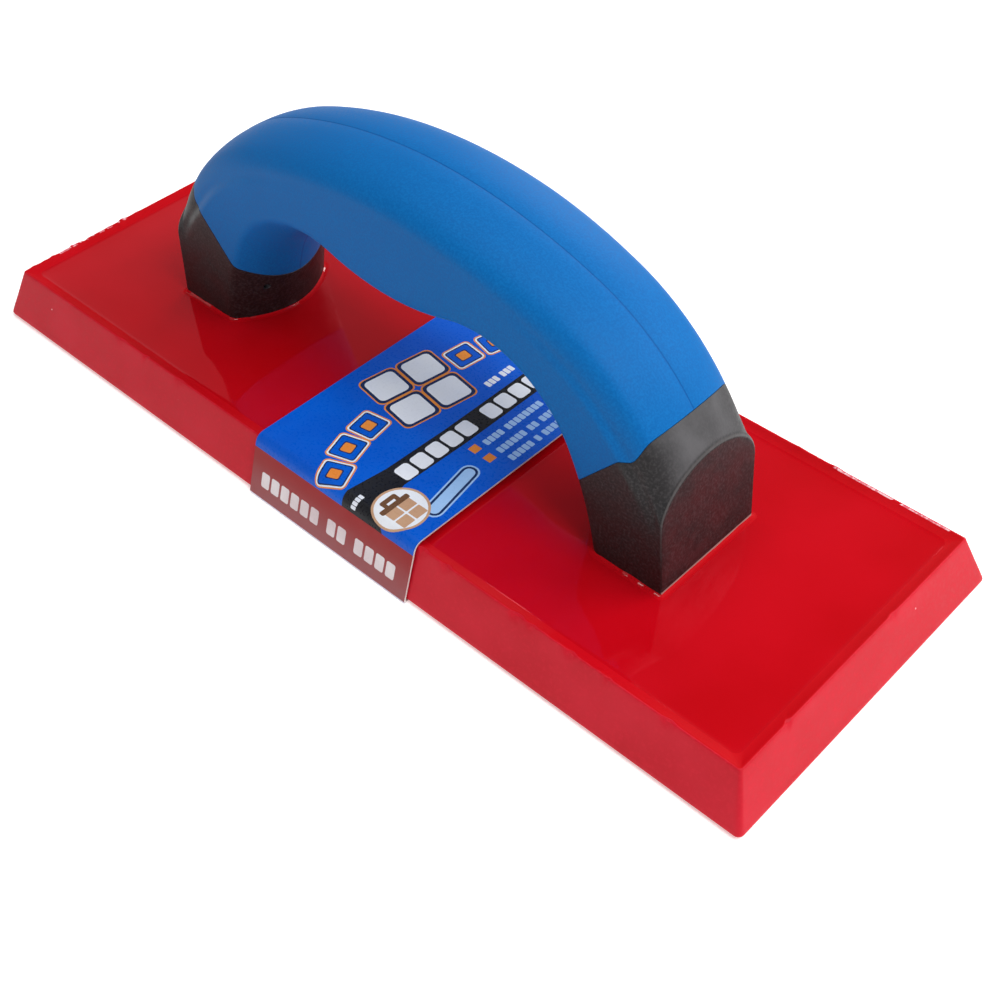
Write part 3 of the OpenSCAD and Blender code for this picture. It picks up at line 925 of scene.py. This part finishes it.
class Look:
    """A material's node tree around one Principled shader."""

    def __init__(self, name, roughness, **constants):
        self.material = bpy.data.materials.new(name)
        self.material.use_nodes = True
        self.tree = self.material.node_tree
        self.shader = self.tree.nodes["Principled BSDF"]
        self.shader.inputs["Roughness"].default_value = roughness
        for socket, value in constants.items():
            self.shader.inputs[socket.replace("_", " ")].default_value = value
        self.place = self.node("ShaderNodeTexCoord").outputs["Object"]

    def node(self, kind, **settings):
        made = self.tree.nodes.new(kind)
        for key, value in settings.items():
            setattr(made, key, value)
        return made

    def link(self, a, b):
        self.tree.links.new(a, b)

    def noise(self, scale, detail=3.0, stretch=None):
        made = self.node("ShaderNodeTexNoise")
        made.inputs["Scale"].default_value = scale
        made.inputs["Detail"].default_value = detail
        place = self.place
        if stretch:
            mapping = self.node("ShaderNodeMapping")
            mapping.inputs["Scale"].default_value = stretch
            self.link(place, mapping.inputs["Vector"])
            place = mapping.outputs["Vector"]
        self.link(place, made.inputs["Vector"])
        return made.outputs["Fac"]

    def ramp(self, value, low, high, from_value=0.0, to_value=1.0):
        """Smooth map of value from low..high to from_value..to_value."""
        made = self.node("ShaderNodeMapRange", interpolation_type="SMOOTHSTEP")
        for socket, number in (("From Min", low), ("From Max", high),
                               ("To Min", from_value), ("To Max", to_value)):
            made.inputs[socket].default_value = number
        self.link(value, made.inputs["Value"])
        return made.outputs["Result"]

    def blend(self, share, a, b):
        """Colour between a and b, each a colour or a socket."""
        made = self.node("ShaderNodeMix", data_type="RGBA")
        self.link(share, made.inputs["Factor"])
        for socket, colour in ((made.inputs[6], a), (made.inputs[7], b)):
            if isinstance(colour, tuple):
                socket.default_value = (*colour, 1)
            else:
                self.link(colour, socket)
        return made.outputs[2]

    def math(self, operation, a, b=None):
        made = self.node("ShaderNodeMath", operation=operation)
        for socket, value in zip(made.inputs, (a, b)):
            if isinstance(value, (int, float)):
                socket.default_value = value
            elif value is not None:
                self.link(value, socket)
        return made.outputs[0]

    def axis(self, name):
        made = self.node("ShaderNodeSeparateXYZ")
        self.link(self.place, made.inputs[0])
        return made.outputs[name]

    def up(self):
        """Upward part of the surface's normal."""
        made = self.node("ShaderNodeSeparateXYZ")
        self.link(self.node("ShaderNodeTexCoord").outputs["Normal"], made.inputs[0])
        return made.outputs["Z"]

    def specks(self, scale, radius, rare=0.62):
        """1 in sparse round specks, 0 elsewhere."""
        made = self.node("ShaderNodeTexVoronoi")
        made.inputs["Scale"].default_value = scale
        self.link(self.place, made.inputs["Vector"])
        chosen = self.ramp(made.outputs["Color"], rare, rare + 0.02)
        return self.math("MULTIPLY", self.ramp(made.outputs["Distance"], radius, radius * 0.6), chosen)

    def colour(self, socket):
        self.link(socket, self.shader.inputs["Base Color"])

    def rough(self, value, low, high):
        self.link(self.ramp(value, 0.3, 0.7, low, high), self.shader.inputs["Roughness"])

    def bump(self, layers):
        """Chains bumps of (height socket, strength, distance in metres)."""
        normal = None
        for height, strength, distance in layers:
            made = self.node("ShaderNodeBump")
            made.inputs["Strength"].default_value = strength
            made.inputs["Distance"].default_value = distance
            self.link(height, made.inputs["Height"])
            if normal:
                self.link(normal, made.inputs["Normal"])
            normal = made.outputs["Normal"]
        self.link(normal, self.shader.inputs["Normal"])
        return self.material


def urethane_side():
    """Cut and scuffed faces of the casting: satin, with a pale bloom and dust."""
    look = Look("urethane_side", 0.46, Specular_IOR_Level=0.16,
                Subsurface_Weight=0.06, Subsurface_Scale=0.002)
    look.shader.inputs["Subsurface Radius"].default_value = (1.0, 0.15, 0.12)
    cloud, fine = look.noise(55), look.noise(900, 4)
    base = look.blend(look.ramp(cloud, 0.35, 0.68), (0.52, 0.0035, 0.015), (0.57, 0.0070, 0.022))
    base = look.blend(look.ramp(fine, 0.45, 0.75, 0, 0.5), base, (0.62, 0.016, 0.034))
    base = look.blend(look.specks(230, 0.062, 0.74), base, (0.85, 0.55, 0.55))
    look.colour(base)
    look.rough(fine, 0.40, 0.56)
    return look.bump([(cloud, 0.15, 0.0006), (fine, 0.18, 0.00012)])


def urethane_top(name, roughness, **gloss):
    """Deep red of the poured top."""
    look = Look(name, roughness, Subsurface_Weight=0.06, Subsurface_Scale=0.002, **gloss)
    look.shader.inputs["Subsurface Radius"].default_value = (1.0, 0.15, 0.12)
    cloud = look.noise(30, 2)
    look.colour(look.blend(look.ramp(cloud, 0.35, 0.7), (0.47, 0.0010, 0.0045), (0.52, 0.0018, 0.0075)))
    return look


def urethane_film():
    """The flat of the poured top: wet gloss."""
    look = urethane_top("urethane_film", 0.035, IOR=1.6, Specular_IOR_Level=0.9,
                        Specular_Tint=(1.0, 0.14, 0.20, 1.0))
    fine, dust = look.noise(420, 2), look.specks(70, 0.02, 0.75)
    look.rough(fine, 0.03, 0.055)
    return look.bump([(look.noise(24, 1), 0.08, 0.0004), (fine, 0.05, 0.00003), (dust, 0.4, 0.0001)])


def urethane_rim():
    """The slope inside the crest, where the gloss doesn't show."""
    look = urethane_top("urethane_rim", 0.5, Specular_IOR_Level=0.05)
    return look.bump([(look.noise(300, 2), 0.05, 0.00005)])


def urethane_wet():
    """The meniscus round the feet, which glints white."""
    look = urethane_top("urethane_wet", 0.04, IOR=1.6, Specular_IOR_Level=1.0)
    return look.bump([(look.noise(400, 2), 0.3, 0.0002)])


def urethane_painted_glint():
    """Painted glint: a pale colour on torn flash at the left crest and along the far rim's crest, standing in
    for white highlights.
    """
    look = Look("urethane_painted_glint", 0.25, Specular_IOR_Level=0.6)
    look.colour(look.blend(look.ramp(look.noise(900, 2), 0.40, 0.60), (0.84, 0.48, 0.52), (0.66, 0.08, 0.12)))
    return look.material


def grip_rubber():
    """Soft blue elastomer with a fine spark-eroded grain, and painted shade darkening its parting line."""
    look = Look("grip_rubber", 0.5, Specular_IOR_Level=0.10)
    grain, cloud = look.noise(1900, 3), look.noise(45, 2)
    base = look.blend(look.ramp(grain, 0.35, 0.68), (0.0004, 0.108, 0.36), (0.0020, 0.140, 0.425))
    base = look.blend(look.ramp(cloud, 0.3, 0.75, 0, 0.35), base, (0.0010, 0.112, 0.36))
    # Painted shade: the parting line's groove along Y = 0 is darkened.
    painted_seam_shade = look.ramp(look.math("ABSOLUTE", look.axis("Y")), 0.00040, 0.00008, 0, 0.5)
    look.colour(look.blend(painted_seam_shade, base, (0.002, 0.05, 0.22)))
    look.rough(grain, 0.44, 0.58)
    return look.bump([(cloud, 0.06, 0.0006), (grain, 0.22, 0.00014)])


def core_plastic():
    """Black glass-filled moulding, with painted sheen greying its upward-facing crown, a painted highlight
    along the end faces' edges and a painted tan highlight at their foot.
    """
    look = Look("core_plastic", 0.5, Specular_IOR_Level=0.27)
    grain, cloud, fibre = look.noise(1500, 4), look.noise(120, 4), look.noise(700, 2, (1, 1, 0.25))
    base = look.blend(look.ramp(grain, 0.4, 0.75), (0.007, 0.0062, 0.0066), (0.034, 0.030, 0.032))
    lean = look.math("MULTIPLY", look.axis("Z"), math.tan(END_LEAN))
    past_end = look.math("ADD", look.math("ABSOLUTE", look.axis("X")), lean)
    end = (HALF_LEN + CREST_Z * math.tan(END_LEAN)) * MM
    off_end = look.ramp(past_end, end - 0.0002, end - 0.0008)
    # Painted sheen: the upward-facing middle of the crown is greyed, away from the end faces, as if it caught
    # overhead light.
    crown = look.math("MULTIPLY", look.ramp(look.up(), 0.12, 0.45), off_end)
    middle = look.ramp(look.math("ABSOLUTE", look.axis("Y")), 0.0165, 0.0060, 0.12, 1.0)
    painted_crown_sheen = look.math("MULTIPLY", crown, middle)
    painted_crown_sheen = look.math("MULTIPLY", painted_crown_sheen, look.ramp(cloud, 0.25, 0.75, 0.55, 1.0))
    base = look.blend(painted_crown_sheen, base, (0.095, 0.093, 0.098))
    # Painted highlight: a thin pale line along the edges of the end faces, stronger higher up.
    near_end = look.ramp(past_end, end - 0.0005, end - 0.0002)
    painted_edge_highlight = look.math("MULTIPLY", near_end, look.ramp(past_end, end - 0.00002, end - 0.00012))
    painted_edge_highlight = look.math("MULTIPLY", painted_edge_highlight, look.ramp(look.axis("Z"), 0.020, 0.045, 0.05, 0.6))
    base = look.blend(painted_edge_highlight, base, (0.10, 0.095, 0.095))
    # Painted highlight: a thin tan line along the foot of each end face, just above the film.
    at_film = look.ramp(look.axis("Z"), 0.0163, 0.0160)
    painted_foot_highlight = look.math("MULTIPLY", at_film, look.ramp(past_end, end - 0.0003, end - 0.0001))
    look.colour(look.blend(painted_foot_highlight, base, (0.40, 0.26, 0.24)))
    look.rough(cloud, 0.40, 0.56)
    return look.bump([(fibre, 0.12, 0.0002), (grain, 0.3, 0.00014)])


def metal(name, colour, dull, stretch):
    """Stamped or rolled steel with drawn streaks and dull stains."""
    look = Look(name, 0.35, Metallic=1.0)
    streak, stain = look.noise(700, 3, stretch), look.noise(90, 4)
    look.colour(look.blend(look.ramp(stain, 0.4, 0.75, 0, 0.8), colour, dull))
    look.rough(streak, 0.25, 0.5)
    return look.bump([(streak, 0.15, 0.0001)])


def ink(name, colour, deep, roughness=0.3):
    """Print on coated card: a little mottled, with the card's faint tooth."""
    look = Look("print_" + name, roughness, Specular_IOR_Level=0.18)
    mottle, tooth = look.noise(60, 2), look.noise(1400, 2)
    look.colour(look.blend(look.ramp(mottle, 0.3, 0.75), colour, deep))
    look.rough(tooth, roughness - 0.05, roughness + 0.08)
    return look.bump([(look.noise(40, 1), 0.05, 0.0008), (tooth, 0.03, 0.00004)])


def red_ink():
    """Strip that fades from dark red under the fold line to a dusty red at the foot of the card."""
    look = Look("print_red", 0.42, Specular_IOR_Level=0.2)
    mottle, tooth = look.noise(160, 3), look.noise(1400, 2)
    fade = look.ramp(look.axis("Z"), 0.0135, 0.0015)
    base = look.blend(fade, (0.30, 0.012, 0.012), (0.31, 0.085, 0.090))
    look.colour(look.blend(look.ramp(mottle, 0.45, 0.8, 0, 0.3), base, (0.33, 0.035, 0.035)))
    return look.bump([(tooth, 0.08, 0.00006)])


INKS = {
    "blue": ((0.0008, 0.085, 0.53), (0.0010, 0.105, 0.60)),
    "navy": ((0.008, 0.022, 0.085), (0.010, 0.028, 0.110)),
    "white": ((0.80, 0.82, 0.86), (0.72, 0.75, 0.82)),
    "faded": ((0.80, 0.74, 0.75), (0.66, 0.54, 0.56)),
    "pale": ((0.36, 0.55, 0.84), (0.30, 0.50, 0.80)),
    "orange": ((0.80, 0.27, 0.045), (0.72, 0.22, 0.035)),
    "black": ((0.010, 0.010, 0.012), (0.018, 0.018, 0.022)),
    "tan": ((0.55, 0.33, 0.20), (0.48, 0.27, 0.16)),
    "brown": ((0.16, 0.075, 0.035), (0.12, 0.055, 0.028)),
    "card": ((0.62, 0.60, 0.56), (0.55, 0.53, 0.49)),
    "edge": ((0.78, 0.76, 0.74), (0.66, 0.64, 0.62)),
}


# ---- Pieces ----

def finish_piece(piece, body, node):
    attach(piece, body)
    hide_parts(node)


def build_pieces():
    urethanes = [urethane_side(), urethane_film(), urethane_rim(), urethane_wet(), urethane_painted_glint()]
    pad = new_piece("pad_casting", pad_mesh(), urethanes, 32)
    finish_piece(pad, "float", "urethane_pad")

    core = new_piece("core_moulding", core_mesh(), [core_plastic()], 34)
    drill_pin_hole(core)
    finish_piece(core, "float", "handle_core")

    grip = new_piece("grip_sleeve", grip_mesh(), [grip_rubber()], 50)
    finish_piece(grip, "float", "soft_grip")

    names = list(INKS) + ["red"]
    inks = [ink(name, *colours) for name, colours in INKS.items()] + [red_ink()]
    band = new_piece("card_band", band_mesh(names), inks, 30)
    finish_piece(band, "band", "label_band")


def dress_node(node, material):
    """A better material on a CAD node that stays."""
    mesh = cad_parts[node].data
    mesh.materials.clear()
    mesh.materials.append(material)


def dress_hidden_nodes():
    dress_node("backing_plate", metal("plate_steel", (0.50, 0.51, 0.53), (0.32, 0.32, 0.33), (1, 8, 8)))
    dress_node("handle_screws", metal("screw_steel", (0.62, 0.60, 0.56), (0.40, 0.38, 0.34), (1, 1, 6)))
    dress_node("screw_washers", metal("washer_steel", (0.56, 0.56, 0.57), (0.36, 0.36, 0.36), (6, 1, 1)))


# ---- Stage ----

def build_floor():
    bm = bmesh.new()
    bmesh.ops.create_grid(bm, x_segments=1, y_segments=1, size=4000)
    look = Look("floor_paper", 0.9, Specular_IOR_Level=0.1,
                Emission_Color=(1, 1, 1, 1), Emission_Strength=0.42)
    look.colour(look.blend(look.noise(3, 2), (0.86, 0.86, 0.86), (0.88, 0.88, 0.88)))
    floor = new_piece("floor", bm, [look.material])


def area_light(name, place, target, size, watts, colour=(1, 1, 1)):
    data = bpy.data.lights.new(name, "AREA")
    data.shape = "RECTANGLE"
    data.size, data.size_y = size
    data.energy = watts
    data.color = colour
    lamp = bpy.data.objects.new(name, data)
    lamp.location = place
    lamp.rotation_euler = (Vector(target) - Vector(place)).to_track_quat("-Z", "Y").to_euler()
    bpy.context.scene.collection.objects.link(lamp)


def build_lights():
    area_light("key", (0.46, -0.03, 0.66), (0.02, 0.0, 0.03), (0.36, 0.36), 3.0)
    area_light("top", (-0.05, 0.10, 1.05), (0.0, 0.0, 0.0), (0.9, 0.6), 3.6)
    area_light("rim", (0.44, 0.47, 0.51), (0.06, 0.0, 0.06), (0.45, 0.45), 2.6)
    area_light("back", (-0.25, 0.95, 0.50), (0.0, 0.0, 0.02), (0.6, 0.4), 3.2)
    area_light("front", (-0.15, -1.05, 0.45), (0.0, 0.0, 0.03), (0.9, 0.5), 0.8)
    world = bpy.data.worlds.new("studio")
    bpy.context.scene.world = world
    world.use_nodes = True
    nodes, links = world.node_tree.nodes, world.node_tree.links
    place = nodes.new("ShaderNodeTexCoord")
    height = nodes.new("ShaderNodeSeparateXYZ")
    fade = nodes.new("ShaderNodeMapRange")
    fade.interpolation_type = "SMOOTHSTEP"
    for socket, number in (("From Min", 0.40), ("From Max", 0.80), ("To Min", 0.45), ("To Max", 0.14)):
        fade.inputs[socket].default_value = number
    links.new(place.outputs["Generated"], height.inputs[0])
    links.new(height.outputs["Z"], fade.inputs["Value"])
    links.new(fade.outputs["Result"], nodes["Background"].inputs["Strength"])
    nodes["Background"].inputs["Color"].default_value = (1, 1, 1, 1)


CAMERA_PLACE = (0.2236, -0.2077, 0.2781)
CAMERA_TURN = (44.9603, 1.2308, 43.1907)  # degrees about X, Y and Z


def build_camera():
    """The photograph's viewpoint: to the right of the near long side, 45 degrees up."""
    data = bpy.data.cameras.new("camera")
    data.lens = 52.67
    data.sensor_width = 36
    data.clip_start = 0.01
    camera = bpy.data.objects.new("camera", data)
    camera.location = CAMERA_PLACE
    camera.rotation_euler = [math.radians(angle) for angle in CAMERA_TURN]
    bpy.context.scene.collection.objects.link(camera)
    bpy.context.scene.camera = camera


build_camera()
build_pieces()
dress_hidden_nodes()
build_floor()
build_lights()
bpy.context.scene.view_settings.view_transform = "Standard"
